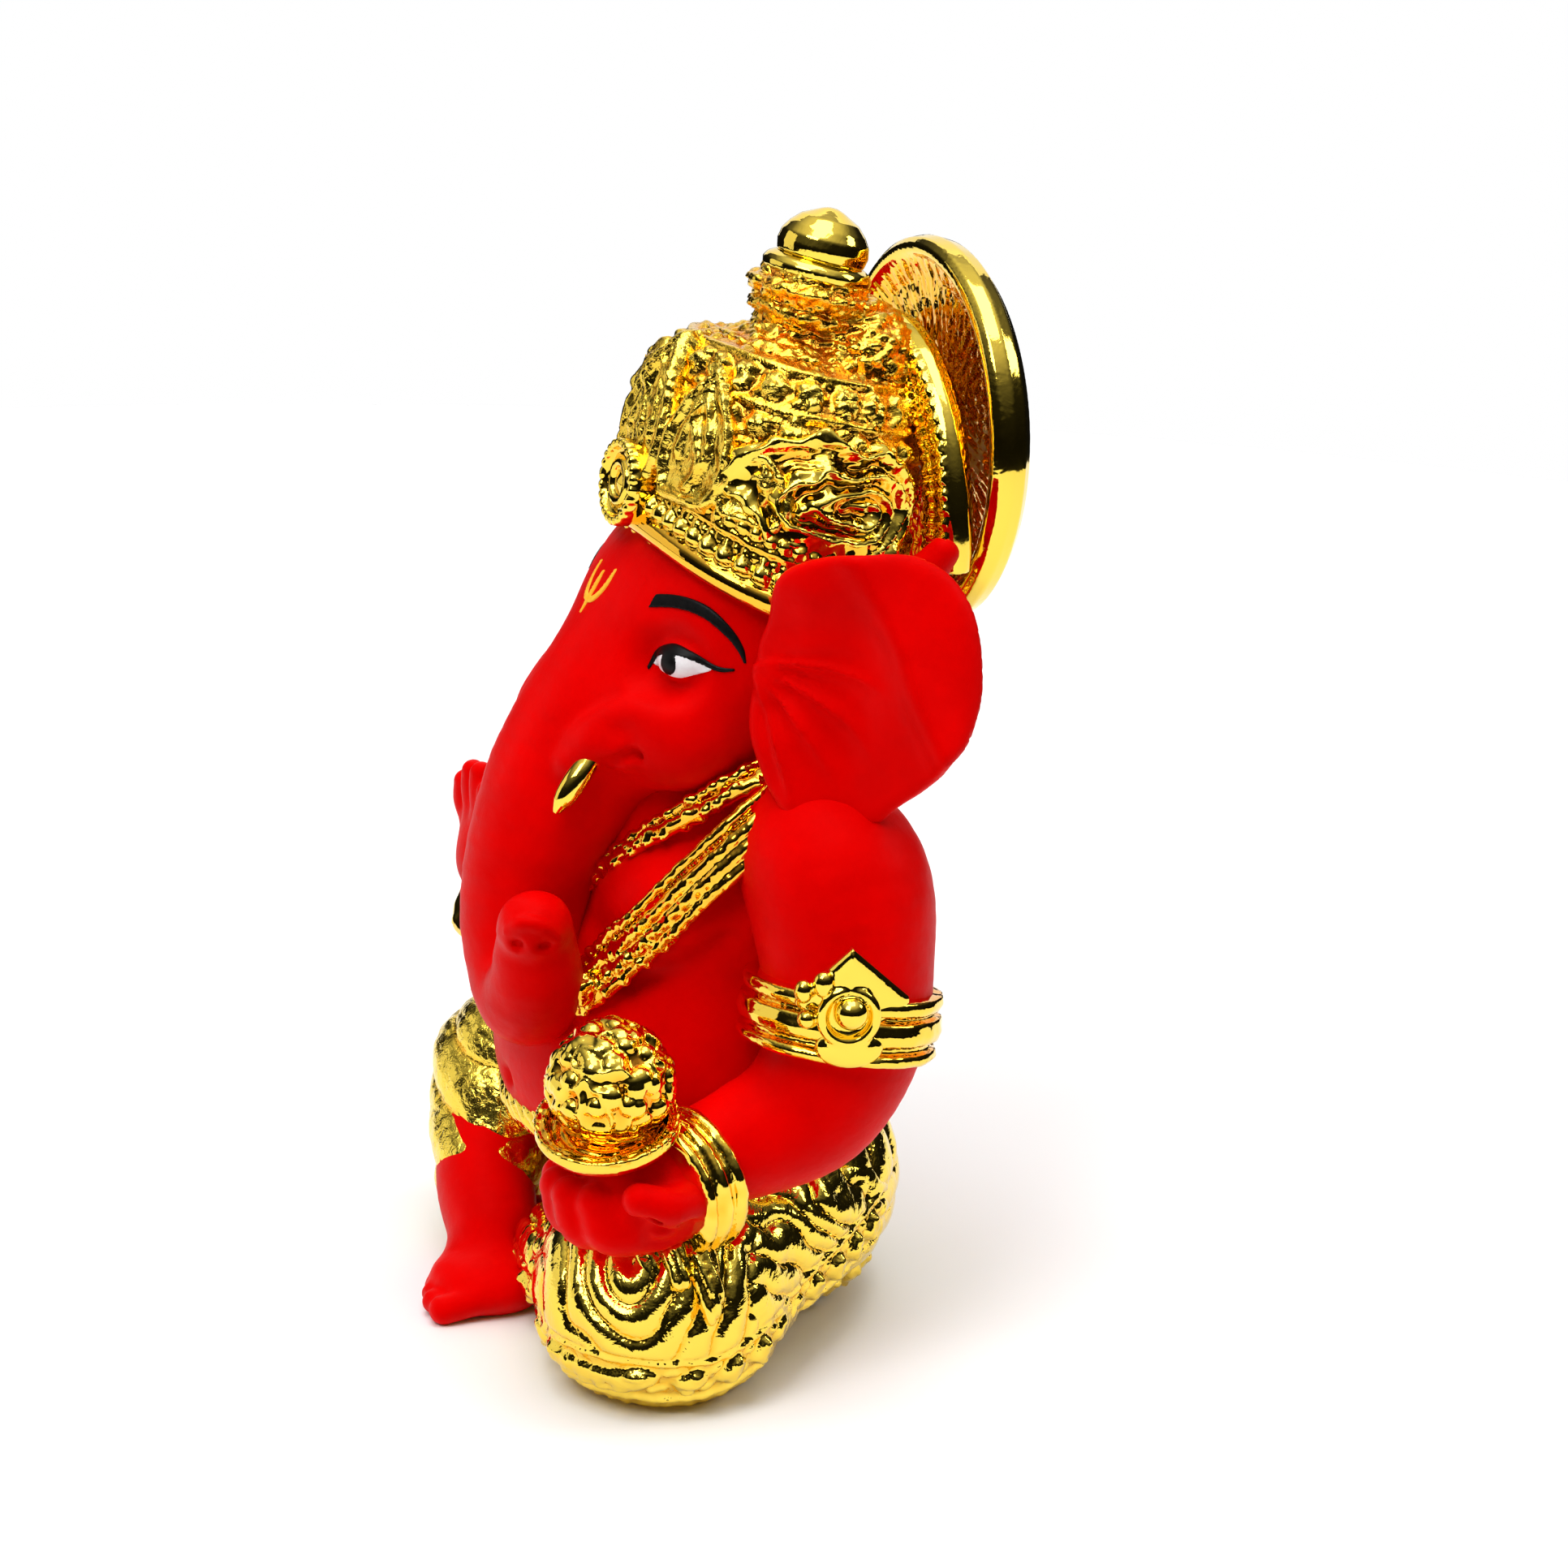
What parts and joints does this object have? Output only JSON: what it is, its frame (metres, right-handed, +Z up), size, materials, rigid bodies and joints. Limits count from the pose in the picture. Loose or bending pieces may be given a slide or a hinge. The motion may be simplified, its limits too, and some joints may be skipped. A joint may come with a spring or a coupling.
{
  "type": "ganesha idol",
  "caption": "Small seated elephant-headed altar figure with a tall crown and halo disc, one hand raised and the other holding a dish of sweets, gold-plated with red-painted skin",
  "frame": {"origin": "on the floor, on the underside of the base pad, under the middle of the body", "axes": "+Z up, -Y the way the figure faces, +X the figure's own left"},
  "size_m": [0.0574, 0.0416, 0.085],
  "materials": {
    "gold_plate": "bright electroplated gold over cast resin",
    "red_paint": "matte velvet red paint over cast resin",
    "bare_resin": "bare cast resin",
    "base_felt": "thin felt pad",
    "black_paint": "brushed black paint",
    "white_paint": "brushed white paint",
    "yellow_paint": "brushed yellow paint"
  },
  "bodies": {
    "root": {"base_pad": "base_felt", "base_plug": "bare_resin", "seat": "gold_plate", "waist_peg": "bare_resin", "leg_left": "gold_plate", "leg_right": "gold_plate", "foot_left": "red_paint", "foot_right": "red_paint", "waist_sash": "gold_plate", "torso": "red_paint", "neck_peg": "bare_resin", "head": "red_paint", "ear_left": "red_paint", "ear_right": "red_paint", "tusk_left": "gold_plate", "tusk_right": "gold_plate", "crown_peg": "bare_resin", "crown_band": "gold_plate", "crown_drum": "gold_plate", "crown_tiers": "gold_plate", "crown_collar": "gold_plate", "crown_finial": "gold_plate", "crown_rib": "gold_plate", "crown_crest": "gold_plate", "crown_medallion": "gold_plate", "crown_scroll_left": "gold_plate", "crown_scroll_right": "gold_plate", "halo_stud": "bare_resin", "halo_disc": "gold_plate", "shoulder_peg_left": "bare_resin", "shoulder_peg_right": "bare_resin", "arm_left": "red_paint", "arm_right": "red_paint", "hand_left": "red_paint", "hand_right": "red_paint", "armlet_left": "gold_plate", "armlet_right": "gold_plate", "armlet_boss_left": "gold_plate", "armlet_boss_right": "gold_plate", "bangle_left": "gold_plate", "bangle_right": "gold_plate", "modak_dish": "gold_plate", "modak_heap": "gold_plate", "necklace_upper": "gold_plate", "necklace_lower": "gold_plate"}
  },
  "joints": []
}
